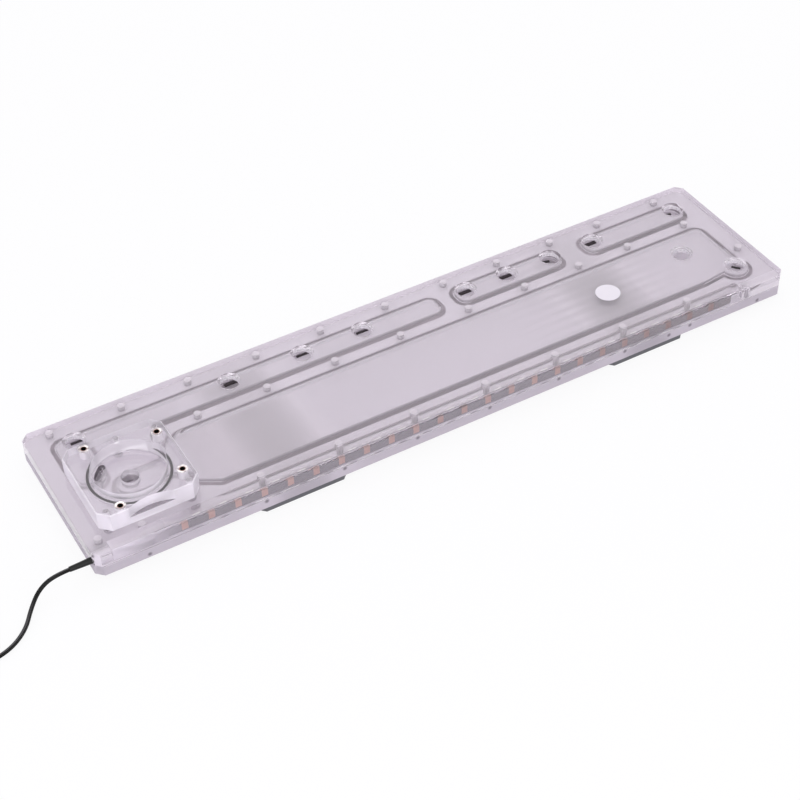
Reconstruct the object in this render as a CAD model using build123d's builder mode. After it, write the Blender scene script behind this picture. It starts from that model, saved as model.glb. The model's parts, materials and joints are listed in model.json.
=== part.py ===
"""Water cooling distribution plate: two acrylic plates with milled water ways, a pump block and edge lights.

Millimetres. The plate lies flat. X runs along it, Y across it to the back, Z up.
The origin is under the middle of the plate, on the surface that the brackets stand on.
Places along and across the plate are measured from its left end and from its front edge.
"""

import os
from math import cos, pi, radians, sin

from build123d import *

os.makedirs("parts", exist_ok=True)

# Plates
plate_length = 480.0
plate_width = 113.5
front_thickness = 9.0
back_thickness = 7.0
plate_gap = 0.05
plate_corner = 4.5
top_edge_chamfer = 0.6
pump_end_length = 100.0
right_end_length = 50.0

# Brackets under the plate
bracket_thickness = 3.0
bracket_width = 56.5
bracket_corner = 3.0
bracket_stations = (129.5, 372.5)
bracket_hole_spacing_x = 25.0
bracket_hole_spacing_y = 70.0
bracket_thread_radius = 1.65
bracket_relief_radius = 2.5
bracket_relief_depth = 4.0
bracket_screw_spacing_x = 44.0
bracket_screw_spacing_y = 60.0
bracket_screw_radius = 1.5
bracket_screw_head_radius = 2.9
bracket_screw_length = 7.0

# Water ways, milled into the underside of the front plate
pocket_ceiling = 4.5
pocket_corner = 6.0
chamber_front_margin = 22.0
chamber_right_margin = 15.7
chamber_left = 82.0
channel_back_margin = 12.5
channel_width = 16.0
rib_width = 13.5
channel_1_left = 15.0
channel_1_leg_width = 16.0
channel_1_leg_front = 53.0
channel_1_right = 275.0
channel_2_left = 288.5
channel_2_right = 367.0
channel_3_left = 387.0
channel_3_right_margin = 14.8
inlet_way_width = 17.0
inlet_way_right = 64.0
lobe_radius = 8.7

# Seals in grooves in the back plate, round each water way
seal_rib = 0.4
seal_width = 2.4
seal_height = 1.6
seal_clearance = 0.1

# Ports in the top, threaded G1/4
port_radius = 5.9
port_mouth_radius = 7.25
channel_port_stations = (26.4, 127.0, 177.0, 219.5, 295.5, 326.6, 360.0, 393.5, 459.0)
last_port_margin = 21.0
chamber_port_places = ((435.6, 51.4), (458.2, 24.2))

# Screws that hold the two plates together, put in from below
back_row_stations = (16.5, 62.4, 106.3, 152.7, 197.9, 244.5, 287.8, 328.5, 369.9, 408.1, 454.8)
middle_row_stations = (98.7, 145.1, 191.9, 238.6, 288.3, 330.9, 372.7, 411.5, 457.5)
front_row_stations = (33.5, 107.8, 158.5, 209.3, 259.4, 309.9, 360.7, 410.2)
end_screw_places = ((8.0, 15.0), (472.5, 39.5), (451.0, 4.8))
back_row_margin = 5.0
front_row_margin = 12.5
screw_radius = 2.0
screw_head_radius = 3.5
screw_head_height = 4.0
screw_hex_radius = 1.7
screw_hex_depth = 2.2
screw_hole_clearance = 0.25
screw_hole_ceiling = 2.5
screw_tip_gap = 3.0
head_recess_clearance = 0.3

# Pump block, held by its own screws from below
block_left = 11.0
block_front = 14.0
block_size = 62.0
block_height = 12.0
block_corner = 6.0
pump_centre_x = 41.5
pump_centre_y = 45.0
recess_radius = 22.0
recess_depth = 8.0
inlet_radius = 5.4
outlet_arc_radius = 18.5
outlet_width = 4.0
outlet_start_angle = 127.0
outlet_sweep = 28.0
rim_notch_radius = 9.0
rim_notch_offset = 15.0
rim_notch_angle = 12.0
rim_notch_depth = 5.0
scoop_chord = 28.0
scoop_sagitta = 3.5
scoop_depth = 7.0
block_seal_inner_radius = 23.2
block_seal_width = 1.6
block_seal_height = 1.8
insert_circle_radius = 31.0
insert_angles = (35.0, 122.0, 238.0, 325.0)
insert_radius = 2.8
insert_flange_radius = 3.4
insert_flange_height = 0.8
insert_length = 8.0
insert_thread_radius = 1.65
insert_clearance = 0.05
block_screw_places = ((17.0, 21.0), (67.0, 19.5), (45.0, 72.3), (68.0, 70.0))
block_screw_radius = 1.5
block_screw_head_radius = 2.75
block_screw_head_height = 3.0
block_screw_depth = 8.0

# Light strip in a groove along the front edge
light_groove_front = 2.0
light_groove_width = 7.4
light_groove_left = 11.0
light_groove_right = 446.0
light_groove_ceiling = 1.2
strip_left = 36.0
strip_right = 437.0
strip_height = 6.5
strip_thickness = 0.4
light_pitch = 1000.0 / 60.0
first_pad = 54.5
pad_width = 4.0
pad_height = 5.0
pad_thickness = 0.08
light_chip_size = 5.0
light_chip_depth = 1.6
wire_radius = 0.5
wire_spacing = 1.25
wire_offset = 0.75
wire_end_shift = 0.4

# Lead of the light strip
sleeve_radius = 2.0
sleeve_end_radius = 1.55
sleeve_inside = 8.0
sleeve_outside = 13.0
sleeve_clearance = 0.15
sleeve_from_front = 6.4
sleeve_above_joint = 2.0
lead_diameter = 2.6
lead_lift = 0.1
coil_mean_radius = 14.3
coil_turns_wide = 3
coil_turns_high = 2
coil_centre_x = -329.5
lead_slack = 0.05
tail_length = 18.0
plug_width = 10.2
plug_length = 14.0
plug_thickness = 2.6
plug_pitch = 2.54
contact_size = 1.6
contact_clearance = 0.1
contact_bore = 0.8
contact_length = 9.0

# Label
label_place = (370.7, 42.7)
label_radius = 8.0
label_thickness = 0.2

# Length that the stations are measured on, and heights
drawn_length = channel_port_stations[-1] + last_port_margin
plate_bottom = bracket_thickness
joint_height = plate_bottom + back_thickness
plate_top = joint_height + front_thickness
block_top = plate_top + block_height
pocket_depth = front_thickness - pocket_ceiling


def along(station):
    """X of a station, measured from the left end. Only the plate's middle stretch changes with its length."""
    middle = drawn_length - pump_end_length - right_end_length
    share = min(max((station - pump_end_length) / middle, 0.0), 1.0)
    return station + share * (plate_length - drawn_length) - plate_length / 2


def across(from_front):
    return from_front - plate_width / 2


def place(spot):
    return (along(spot[0]), across(spot[1]))


channel_far = plate_width - channel_back_margin
channel_near = channel_far - channel_width
chamber_far = channel_near - rib_width
port_line = (channel_near + channel_far) / 2
middle_row = channel_near - rib_width / 2
pump_x = along(pump_centre_x)
pump_y = across(pump_centre_y)
pump_centre = (pump_x, pump_y)
light_groove_middle = (along(light_groove_left) + along(light_groove_right)) / 2
light_groove_length = along(light_groove_right) - along(light_groove_left)
port_places = [(along(x), across(port_line)) for x in channel_port_stations]
port_places += [place(spot) for spot in chamber_port_places]
screw_places = [(along(x), across(plate_width - back_row_margin)) for x in back_row_stations]
screw_places += [(along(x), across(middle_row)) for x in middle_row_stations]
screw_places += [(along(x), across(front_row_margin)) for x in front_row_stations]
screw_places += [place(spot) for spot in end_screw_places]


def plate_outline():
    with BuildSketch() as outline:
        Rectangle(plate_length, plate_width)
        chamfer(outline.vertices(), plate_corner)
    return outline.sketch


def chamber_outline():
    """Main chamber, with a narrow way to the pump's inlet and a round lobe at the lowest port."""
    half_way = inlet_way_width / 2
    right = plate_length / 2 - chamber_right_margin
    lobe = port_places[-1]
    corners = [
        (right, across(chamber_far)),
        (along(chamber_left), across(chamber_far)),
        (along(inlet_way_right), pump_y + half_way),
        (pump_x, pump_y + half_way),
        (pump_x, pump_y - half_way),
        (along(inlet_way_right), pump_y - half_way),
        (along(chamber_left) + pocket_corner, across(chamber_front_margin)),
        (lobe[0] - 3 * lobe_radius, across(chamber_front_margin)),
        (lobe[0] - lobe_radius, lobe[1]),
        (right, lobe[1]),
    ]
    with BuildSketch() as outline:
        with BuildLine():
            Polyline(*corners, close=True)
        make_face()
        fillet([v for v in outline.vertices() if v.Y > across(chamber_far) - 1], pocket_corner)
        with Locations(pump_centre):
            Circle(half_way)
        with Locations(lobe):
            Circle(lobe_radius)
    return outline.sketch


def channel_outline(left, right, leg_width=0.0, leg_front=0.0):
    """Straight channel along the back. A leg, if it has one, runs to the front at its left end."""
    far = across(channel_far)
    near = across(channel_near)
    corners = [(left, far), (right, far), (right, near)]
    if leg_width:
        front = across(leg_front)
        corners += [(left + leg_width, near), (left + leg_width, front), (left, front)]
    else:
        corners += [(left, near)]
    with BuildSketch() as outline:
        with BuildLine():
            Polyline(*corners, close=True)
        make_face()
        fillet(outline.vertices(), pocket_corner)
    return outline.sketch


def ring_round(outline, inner, outer):
    with BuildSketch() as ring:
        add(offset(outline, amount=outer, kind=Kind.ARC, mode=Mode.PRIVATE))
        add(offset(outline, amount=inner, kind=Kind.ARC, mode=Mode.PRIVATE), mode=Mode.SUBTRACT)
    return ring.sketch


def seal_round(outline):
    return ring_round(outline, seal_rib + seal_clearance, seal_rib + seal_clearance + seal_width)


def groove_round(outline):
    return ring_round(outline, seal_rib, seal_rib + seal_width + 2 * seal_clearance)


def outlet_arc():
    return CenterArc((0, 0), outlet_arc_radius, outlet_start_angle, outlet_sweep, mode=Mode.PRIVATE)


def outlet_slot():
    """Kidney shaped slot that lets the pump's outlet into the first channel."""
    with BuildSketch() as slot:
        with Locations(pump_centre):
            SlotArc(outlet_arc(), outlet_width)
    return slot.sketch


def save(builder, name):
    builder.part.label = name
    export_step(builder.part, f"parts/{name}.step")


channel_1_way = channel_outline(
    along(channel_1_left), along(channel_1_right), channel_1_leg_width, channel_1_leg_front
)
water_ways = {
    "chamber": chamber_outline(),
    "channel_1": channel_1_way,
    "channel_2": channel_outline(along(channel_2_left), along(channel_2_right)),
    "channel_3": channel_outline(along(channel_3_left), plate_length / 2 - channel_3_right_margin),
}

# Front plate: the upper plate, with the water ways, ports, blind screw holes and the light groove
with BuildPart() as front_plate:
    with BuildSketch(Plane.XY.offset(joint_height)):
        add(plate_outline())
    extrude(amount=front_thickness)
    chamfer(front_plate.faces().sort_by(Axis.Z)[-1].edges(), top_edge_chamfer)
    for way in water_ways.values():
        with BuildSketch(Plane.XY.offset(joint_height)):
            add(way)
        extrude(amount=pocket_depth, mode=Mode.SUBTRACT)
    with BuildSketch(Plane.XY.offset(joint_height)):
        with Locations(*screw_places):
            Circle(screw_radius + screw_hole_clearance)
    extrude(amount=front_thickness - screw_hole_ceiling, mode=Mode.SUBTRACT)
    with BuildSketch(Plane.XY.offset(plate_top)):
        with Locations(*port_places):
            Circle(port_radius)
        with Locations(pump_centre):
            Circle(inlet_radius)
        add(outlet_slot())
    extrude(amount=-front_thickness, mode=Mode.SUBTRACT)
    mouth_depth = port_mouth_radius - port_radius
    with Locations(*[(x, y, plate_top - mouth_depth / 2) for x, y in port_places]):
        Cone(port_radius, port_mouth_radius, mouth_depth, mode=Mode.SUBTRACT)
    with BuildSketch(Plane.XY.offset(joint_height)):
        with Locations(*[place(spot) for spot in block_screw_places]):
            Circle(block_screw_radius + screw_hole_clearance)
    extrude(amount=front_thickness, mode=Mode.SUBTRACT)
    with BuildSketch(Plane.XY.offset(joint_height)):
        with Locations(*[place(spot) for spot in block_screw_places]):
            Circle(block_screw_head_radius + head_recess_clearance)
    extrude(amount=block_screw_head_height, mode=Mode.SUBTRACT)
    with BuildSketch(Plane.XY.offset(joint_height)):
        with Locations((light_groove_middle, across(light_groove_front + light_groove_width / 2))):
            Rectangle(light_groove_length, light_groove_width)
    extrude(amount=front_thickness - light_groove_ceiling, mode=Mode.SUBTRACT)
    with BuildSketch(Plane.YZ.offset(-plate_length / 2)):
        with Locations((across(sleeve_from_front), joint_height + sleeve_above_joint)):
            Circle(sleeve_radius + sleeve_clearance)
        with Locations((across(sleeve_from_front), joint_height + sleeve_above_joint / 2)):
            Rectangle(2 * (sleeve_radius + sleeve_clearance), sleeve_above_joint)
    extrude(amount=light_groove_left, mode=Mode.SUBTRACT)
save(front_plate, "front_plate")

# Back plate: the lower plate, with the seal grooves and the sunk screw heads
with BuildPart() as back_plate:
    with BuildSketch(Plane.XY.offset(plate_bottom)):
        add(plate_outline())
    extrude(amount=back_thickness - plate_gap)
    for way in water_ways.values():
        with BuildSketch(Plane.XY.offset(joint_height)):
            add(groove_round(way))
        extrude(amount=-seal_height, mode=Mode.SUBTRACT)
    with BuildSketch(Plane.XY.offset(plate_bottom)):
        with Locations(*screw_places):
            Circle(screw_radius + screw_hole_clearance)
    extrude(amount=back_thickness, mode=Mode.SUBTRACT)
    with BuildSketch(Plane.XY.offset(plate_bottom)):
        with Locations(*screw_places):
            Circle(screw_head_radius + head_recess_clearance)
    extrude(amount=screw_head_height + head_recess_clearance, mode=Mode.SUBTRACT)
    for station in bracket_stations:
        with BuildSketch(Plane.XY.offset(plate_bottom)):
            with Locations((along(station), 0)):
                with GridLocations(bracket_hole_spacing_x, bracket_hole_spacing_y, 2, 2):
                    Circle(bracket_relief_radius)
        extrude(amount=bracket_relief_depth, mode=Mode.SUBTRACT)
        with BuildSketch(Plane.XY.offset(plate_bottom)):
            with Locations((along(station), 0)):
                with GridLocations(bracket_screw_spacing_x, bracket_screw_spacing_y, 2, 2):
                    Circle(bracket_screw_radius + screw_hole_clearance)
        extrude(amount=bracket_screw_length - bracket_thickness + head_recess_clearance, mode=Mode.SUBTRACT)
save(back_plate, "back_plate")

# Seals: flat cords of soft black rubber, one round each water way
for way_name, way in water_ways.items():
    with BuildPart() as way_seal:
        with BuildSketch(Plane.XY.offset(joint_height - seal_height)):
            add(seal_round(way))
        extrude(amount=seal_height)
    save(way_seal, f"{way_name}_seal")

# Assembly screws: socket cap screws from below, one group
shank_start = plate_bottom + screw_head_height + head_recess_clearance
screw_end = plate_top - screw_hole_ceiling - screw_tip_gap
with BuildPart() as assembly_screws:
    with BuildSketch(Plane.XY.offset(shank_start - screw_head_height)):
        with Locations(*screw_places):
            Circle(screw_head_radius)
    extrude(amount=screw_head_height)
    with BuildSketch(Plane.XY.offset(shank_start)):
        with Locations(*screw_places):
            Circle(screw_radius)
    extrude(amount=screw_end - shank_start)
    with BuildSketch(Plane.XY.offset(shank_start - screw_head_height)):
        with Locations(*screw_places):
            RegularPolygon(screw_hex_radius, 6)
    extrude(amount=screw_hex_depth, mode=Mode.SUBTRACT)
save(assembly_screws, "assembly_screws")

# Pump block: the raised clear block that a square pump screws on to
block_x = along(block_left) + block_size / 2
block_y = across(block_front) + block_size / 2
insert_places = [
    (pump_x + insert_circle_radius * cos(radians(a)), pump_y + insert_circle_radius * sin(radians(a)))
    for a in insert_angles
]
scoop_radius = (scoop_chord**2 / 4 + scoop_sagitta**2) / (2 * scoop_sagitta)
with BuildPart() as pump_block:
    with BuildSketch(Plane.XY.offset(plate_top + plate_gap)) as block_sketch:
        with Locations((block_x, block_y)):
            Rectangle(block_size, block_size)
        chamfer(block_sketch.vertices(), block_corner)
    extrude(amount=block_height - plate_gap)
    chamfer(pump_block.faces().sort_by(Axis.Z)[-1].edges(), top_edge_chamfer)
    with BuildSketch(Plane.XY.offset(block_top)):
        with Locations(pump_centre):
            Circle(recess_radius)
    extrude(amount=-recess_depth, mode=Mode.SUBTRACT)
    with BuildSketch(Plane.XY.offset(block_top)):
        notch_x = pump_x + rim_notch_offset * cos(radians(rim_notch_angle))
        notch_y = pump_y + rim_notch_offset * sin(radians(rim_notch_angle))
        with Locations((notch_x, notch_y)):
            Circle(rim_notch_radius)
    extrude(amount=-rim_notch_depth, mode=Mode.SUBTRACT)
    with BuildSketch(Plane.XY.offset(block_top)):
        with Locations((block_x, across(block_front) + scoop_sagitta - scoop_radius)):
            Circle(scoop_radius)
    extrude(amount=-scoop_depth, mode=Mode.SUBTRACT)
    with BuildSketch(Plane.XY.offset(plate_top)):
        with Locations(pump_centre):
            Circle(inlet_radius)
        add(outlet_slot())
    extrude(amount=block_height, mode=Mode.SUBTRACT)
    with BuildSketch(Plane.XY.offset(plate_top)):
        with Locations(pump_centre):
            Circle(block_seal_inner_radius + block_seal_width + seal_clearance)
            Circle(block_seal_inner_radius - seal_clearance, mode=Mode.SUBTRACT)
    extrude(amount=block_seal_height, mode=Mode.SUBTRACT)
    with BuildSketch(Plane.XY.offset(plate_top)):
        with Locations(*[place(spot) for spot in block_screw_places]):
            Circle(block_screw_radius + screw_hole_clearance)
    extrude(amount=block_screw_depth + head_recess_clearance, mode=Mode.SUBTRACT)
    with BuildSketch(Plane.XY.offset(block_top)):
        with Locations(*insert_places):
            Circle(insert_radius + insert_clearance)
    extrude(amount=-block_height, mode=Mode.SUBTRACT)
    with BuildSketch(Plane.XY.offset(block_top)):
        with Locations(*insert_places):
            Circle(insert_flange_radius + insert_clearance)
    extrude(amount=-insert_flange_height, mode=Mode.SUBTRACT)
save(pump_block, "pump_block")

# Ring seal between the pump block and the front plate
with BuildPart() as pump_block_seal:
    with BuildSketch(Plane.XY.offset(plate_top)):
        with Locations(pump_centre):
            Circle(block_seal_inner_radius + block_seal_width)
            Circle(block_seal_inner_radius, mode=Mode.SUBTRACT)
    extrude(amount=block_seal_height)
save(pump_block_seal, "pump_block_seal")

# Threaded inserts that take the pump's screws
with BuildPart() as pump_inserts:
    with BuildSketch(Plane.XY.offset(block_top)):
        with Locations(*insert_places):
            Circle(insert_radius)
    extrude(amount=-insert_length)
    with BuildSketch(Plane.XY.offset(block_top)):
        with Locations(*insert_places):
            Circle(insert_flange_radius)
    extrude(amount=-insert_flange_height)
    with BuildSketch(Plane.XY.offset(block_top)):
        with Locations(*insert_places):
            Circle(insert_thread_radius)
    extrude(amount=-insert_length, mode=Mode.SUBTRACT)
save(pump_inserts, "pump_inserts")

# Screws that hold the pump block, their heads sunk in the underside of the front plate
with BuildPart() as pump_block_screws:
    with BuildSketch(Plane.XY.offset(joint_height)):
        with Locations(*[place(spot) for spot in block_screw_places]):
            Circle(block_screw_head_radius)
    extrude(amount=block_screw_head_height)
    with BuildSketch(Plane.XY.offset(joint_height + block_screw_head_height)):
        with Locations(*[place(spot) for spot in block_screw_places]):
            Circle(block_screw_radius)
    extrude(amount=front_thickness - block_screw_head_height + block_screw_depth)
save(pump_block_screws, "pump_block_screws")

# Light strip: a thin board on edge against the groove's front wall, pads to the front, lights to the back
strip_top = plate_top - light_groove_ceiling
strip_middle = strip_top - strip_height / 2
strip_front = across(light_groove_front)
strip_back = strip_front + strip_thickness
pad_count = int((along(strip_right) - along(first_pad)) / light_pitch) + 1
pad_middles = [along(first_pad) + i * light_pitch for i in range(pad_count)]
light_middles = [x + light_pitch / 2 for x in pad_middles[:-1]]
with BuildPart() as light_strip_board:
    with BuildSketch(Plane.XZ.offset(-strip_back)):
        with Locations(((along(strip_left) + along(strip_right)) / 2, strip_middle)):
            Rectangle(along(strip_right) - along(strip_left), strip_height)
    extrude(amount=strip_thickness - pad_thickness)
save(light_strip_board, "light_strip_board")

with BuildPart() as light_strip_pads:
    with BuildSketch(Plane.XZ.offset(-strip_front - pad_thickness)):
        with Locations(*[(x, strip_middle) for x in pad_middles]):
            Rectangle(pad_width, pad_height)
    extrude(amount=pad_thickness)
save(light_strip_pads, "light_strip_pads")

with BuildPart() as light_chips:
    with BuildSketch(Plane.XZ.offset(-strip_back)):
        with Locations(*[(x, strip_middle) for x in light_middles]):
            Rectangle(light_chip_size, light_chip_size)
    extrude(amount=-light_chip_depth)
save(light_chips, "light_chips")

# Wires from the sleeve to the strip, inside the groove
sleeve_y = across(sleeve_from_front)
sleeve_z = joint_height + sleeve_above_joint
sleeve_inner_x = -plate_length / 2 + sleeve_inside
wire_y = strip_front + wire_offset
wire_step = (along(strip_left) - sleeve_inner_x) / 3
with BuildPart() as light_wires:
    for lane in (-1, 0, 1):
        wire_z = sleeve_z + lane * wire_spacing
        with BuildLine():
            FilletPolyline(
                (sleeve_inner_x, sleeve_y - wire_end_shift, wire_z),
                (sleeve_inner_x + wire_step, sleeve_y - wire_end_shift, wire_z),
                (along(strip_left) - wire_step, wire_y, wire_z),
                (along(strip_left), wire_y, wire_z),
                radius=wire_step,
            )
        with BuildSketch(Plane.YZ.offset(sleeve_inner_x)):
            with Locations((sleeve_y - wire_end_shift, wire_z)):
                Circle(wire_radius)
        sweep()
save(light_wires, "light_wires")

# Shrunk sleeve over the lead where it leaves the plate's left end
sleeve_outer_x = -plate_length / 2 - sleeve_outside
with BuildPart() as lead_sleeve:
    with BuildSketch(Plane.YZ.offset(sleeve_inner_x)):
        with Locations((sleeve_y, sleeve_z)):
            Circle(sleeve_radius)
    with BuildSketch(Plane.YZ.offset(-plate_length / 2)):
        with Locations((sleeve_y, sleeve_z)):
            Circle(sleeve_radius)
    with BuildSketch(Plane.YZ.offset(sleeve_outer_x)):
        with Locations((sleeve_y, sleeve_z)):
            Circle(sleeve_end_radius)
    loft(ruled=True)
save(lead_sleeve, "lead_sleeve")

# Lead: out of the sleeve, down to the surface and away to the left, as the photograph shows it
lead_z = lead_diameter / 2 + lead_lift
outer_turn_radius = coil_mean_radius + (coil_turns_wide - 1) * lead_diameter / 2
lead_points = [
    (sleeve_outer_x, sleeve_y, sleeve_z),
    (-263.0, sleeve_y, sleeve_z),
    (-272.0, -50.6, 6.4),
    (-279.7, -57.6, 2.7),
    (-287.4, -69.0, lead_z),
    (-299.5, -77.8, lead_z),
    (-314.5, -80.5, lead_z),
    (coil_centre_x, -80.5, lead_z),
]


def corner_radii(points):
    """Radius of the arc at each point of the route, as large as its two runs allow."""
    radii = []
    for before, here, after in zip(points, points[1:], points[2:]):
        run_in = Vector(*here) - Vector(*before)
        run_out = Vector(*after) - Vector(*here)
        half_turn = radians(run_in.get_angle(run_out)) / 2
        shorter = min(run_in.length, run_out.length)
        radii.append(0.45 * shorter * cos(half_turn) / sin(half_turn))
    return radii


lead_radii = corner_radii(lead_points)
print("lead radii", [round(r, 1) for r in lead_radii])
with BuildPart() as light_lead:
    with BuildLine() as lead_line:
        FilletPolyline(*lead_points, radius=lead_radii)
    with BuildSketch(Plane.YZ.offset(sleeve_outer_x)):
        with Locations((sleeve_y, sleeve_z)):
            Circle(lead_diameter / 2)
    sweep()
lead_run = sum(edge.length for edge in lead_line.edges())
print("lead volume / section x length", light_lead.part.volume / (pi * lead_diameter**2 / 4 * lead_run))
save(light_lead, "light_lead")

# Coil of the rest of the lead, lying flat, with a flat face for each end of the lead
coil_width = coil_turns_wide * lead_diameter
coil_height = coil_turns_high * lead_diameter
coil_y = lead_points[-1][1] + outer_turn_radius
end_half = lead_diameter / 2 + lead_slack
end_width = 2 * end_half
from_corner = (Align.MIN, Align.MIN, Align.MIN)
with BuildPart() as light_lead_coil:
    with BuildSketch(Plane.XY.offset(lead_lift)):
        with Locations((coil_centre_x, coil_y)):
            Circle(coil_mean_radius + coil_width / 2)
            Circle(coil_mean_radius - coil_width / 2, mode=Mode.SUBTRACT)
    extrude(amount=coil_height)
    with Locations((coil_centre_x, lead_points[-1][1] - end_half, lead_lift)):
        Box(outer_turn_radius, end_width, end_width, align=from_corner, mode=Mode.SUBTRACT)
    with Locations((coil_centre_x - outer_turn_radius - end_half, coil_y, lead_lift)):
        Box(end_width, outer_turn_radius, end_width, align=from_corner, mode=Mode.SUBTRACT)
save(light_lead_coil, "light_lead_coil")
coil_turns = coil_turns_wide * coil_turns_high - 0.75
lead_total = lead_run + coil_turns * 2 * pi * coil_mean_radius + tail_length
print("lead run", round(lead_run, 1), "total length", round(lead_total, 1))

# Short tail from the coil to the plug
tail_x = coil_centre_x - outer_turn_radius
with BuildPart() as light_lead_tail:
    with BuildSketch(Plane.XZ.offset(-coil_y)):
        with Locations((tail_x, lead_z)):
            Circle(lead_diameter / 2)
    extrude(amount=-tail_length)
save(light_lead_tail, "light_lead_tail")

# Three way plug at the end of the lead, one of its four places blind
plug_back = coil_y + tail_length
contact_places = [(tail_x + n * plug_pitch - 1.5 * plug_pitch, lead_z) for n in (0, 1, 3)]
with BuildPart() as light_plug_housing:
    with BuildSketch(Plane.XZ.offset(-plug_back)):
        with Locations((tail_x, lead_z)):
            Rectangle(plug_width, plug_thickness)
    extrude(amount=-plug_length)
    with BuildSketch(Plane.XZ.offset(-plug_back - plug_length)):
        with Locations(*contact_places):
            Rectangle(contact_size + 2 * contact_clearance, contact_size + 2 * contact_clearance)
    extrude(amount=contact_length, mode=Mode.SUBTRACT)
save(light_plug_housing, "light_plug_housing")

with BuildPart() as light_plug_contacts:
    with BuildSketch(Plane.XZ.offset(-plug_back - plug_length)):
        with Locations(*contact_places):
            Rectangle(contact_size, contact_size)
            Rectangle(contact_bore, contact_bore, mode=Mode.SUBTRACT)
    extrude(amount=contact_length)
save(light_plug_contacts, "light_plug_contacts")

# Brackets: dark flat plates across the underside, each with four countersunk screws and four threaded holes
countersink_depth = bracket_screw_head_radius - bracket_screw_radius
for side, station in zip(("left", "right"), bracket_stations):
    with BuildPart() as bracket:
        with BuildSketch() as bracket_sketch:
            with Locations((along(station), 0)):
                Rectangle(bracket_width, plate_width)
            chamfer(bracket_sketch.vertices(), bracket_corner)
        extrude(amount=bracket_thickness)
        with BuildSketch():
            with Locations((along(station), 0)):
                with GridLocations(bracket_hole_spacing_x, bracket_hole_spacing_y, 2, 2):
                    Circle(bracket_thread_radius)
                with GridLocations(bracket_screw_spacing_x, bracket_screw_spacing_y, 2, 2):
                    Circle(bracket_screw_radius + screw_hole_clearance)
        extrude(amount=bracket_thickness, mode=Mode.SUBTRACT)
        with Locations((along(station), 0, countersink_depth / 2)):
            with GridLocations(bracket_screw_spacing_x, bracket_screw_spacing_y, 2, 2):
                Cone(
                    bracket_screw_head_radius + screw_hole_clearance,
                    bracket_screw_radius + screw_hole_clearance,
                    countersink_depth,
                    mode=Mode.SUBTRACT,
                )
    save(bracket, f"bracket_{side}")

# Countersunk screws of both brackets
with BuildPart() as bracket_screws:
    for station in bracket_stations:
        with Locations((along(station), 0, countersink_depth / 2)):
            with GridLocations(bracket_screw_spacing_x, bracket_screw_spacing_y, 2, 2):
                Cone(bracket_screw_head_radius, bracket_screw_radius, countersink_depth)
        with BuildSketch(Plane.XY.offset(countersink_depth)):
            with Locations((along(station), 0)):
                with GridLocations(bracket_screw_spacing_x, bracket_screw_spacing_y, 2, 2):
                    Circle(bracket_screw_radius)
        extrude(amount=bracket_screw_length - countersink_depth)
save(bracket_screws, "bracket_screws")

# Round label on the top
with BuildPart() as label:
    with BuildSketch(Plane.XY.offset(plate_top)):
        with Locations(place(label_place)):
            Circle(label_radius)
    extrude(amount=label_thickness)
save(label, "label")
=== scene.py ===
"""Scene for the water cooling distribution plate.

Its finishes, port threads, lead and tabs of painted shade under the ports, and the floor, light and camera.
Metres, in the frame of the CAD model: +X along the plate, +Y to the row of ports, +Z up. Finishes read
places in millimetres.
"""

import json
from functools import reduce
from math import cos, pi, radians, sin

import bpy
from mathutils import Matrix, Vector


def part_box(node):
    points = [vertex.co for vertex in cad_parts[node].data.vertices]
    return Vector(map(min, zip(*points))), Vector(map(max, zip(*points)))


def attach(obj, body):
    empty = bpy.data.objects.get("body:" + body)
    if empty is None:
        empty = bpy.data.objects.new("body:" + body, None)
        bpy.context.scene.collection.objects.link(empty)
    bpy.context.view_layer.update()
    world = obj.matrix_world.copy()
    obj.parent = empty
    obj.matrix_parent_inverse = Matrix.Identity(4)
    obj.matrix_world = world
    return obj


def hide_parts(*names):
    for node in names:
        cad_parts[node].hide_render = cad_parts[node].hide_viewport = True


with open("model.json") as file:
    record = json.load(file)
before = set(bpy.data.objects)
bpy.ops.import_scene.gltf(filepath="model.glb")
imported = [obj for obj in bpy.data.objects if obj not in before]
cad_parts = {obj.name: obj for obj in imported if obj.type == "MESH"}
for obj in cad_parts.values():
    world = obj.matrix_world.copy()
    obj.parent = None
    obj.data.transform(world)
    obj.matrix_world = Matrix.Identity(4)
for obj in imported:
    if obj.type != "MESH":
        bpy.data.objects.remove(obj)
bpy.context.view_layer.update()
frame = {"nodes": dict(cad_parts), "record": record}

nodes = frame["nodes"]
mounts = {mount["name"]: mount["pos_m"] for mount in frame["record"]["mounts"]}
mm = 0.001

# Camera, at the photograph's viewing angle, in millimetres and degrees
camera_place = (-407.07, -704.17, 726.20)
camera_yaw = 29.109
camera_pitch = 42.613
camera_roll = -1.488
camera_lens = 78.764

# Front plate and pump block, in millimetres. Their boxes and the mounts are read from the model.
plate_low, plate_high = [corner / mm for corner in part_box("front_plate")]
joint_height = plate_low.z
plate_top = plate_high.z
plate_corner = 4.5
pocket_ceiling = joint_height + 4.5
screw_hole_end = plate_top - 2.5
light_groove_back = -46.5
light_groove_right = 206.0
block_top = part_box("pump_block")[1].z / mm
recess_floor = block_top - 8.0
scoop_floor_height = block_top - 7.0
pump_x = mounts["pump_inlet"][0] / mm
pump_y = mounts["pump_inlet"][1] / mm
bracket_middles = [mounts[f"{side}_bracket_face"][0] / mm for side in ("left", "right")]

# Straight edges of the water ways: left, right, front and back, in millimetres
water_ways = {
    "chamber": (-158.0, 224.3, -34.75, 14.75),
    "channel_1": (-225.0, 35.0, 28.25, 44.25),
    "channel_2": (48.5, 127.0, 28.25, 44.25),
    "channel_3": (147.0, 225.2, 28.25, 44.25),
}
water_way_corner = 6.0
chamber_lobe_start = 192.0

# Stretch along the plate, in millimetres, over which the light strip turns darker
strip_darkening = (50.0, 150.0)

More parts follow.
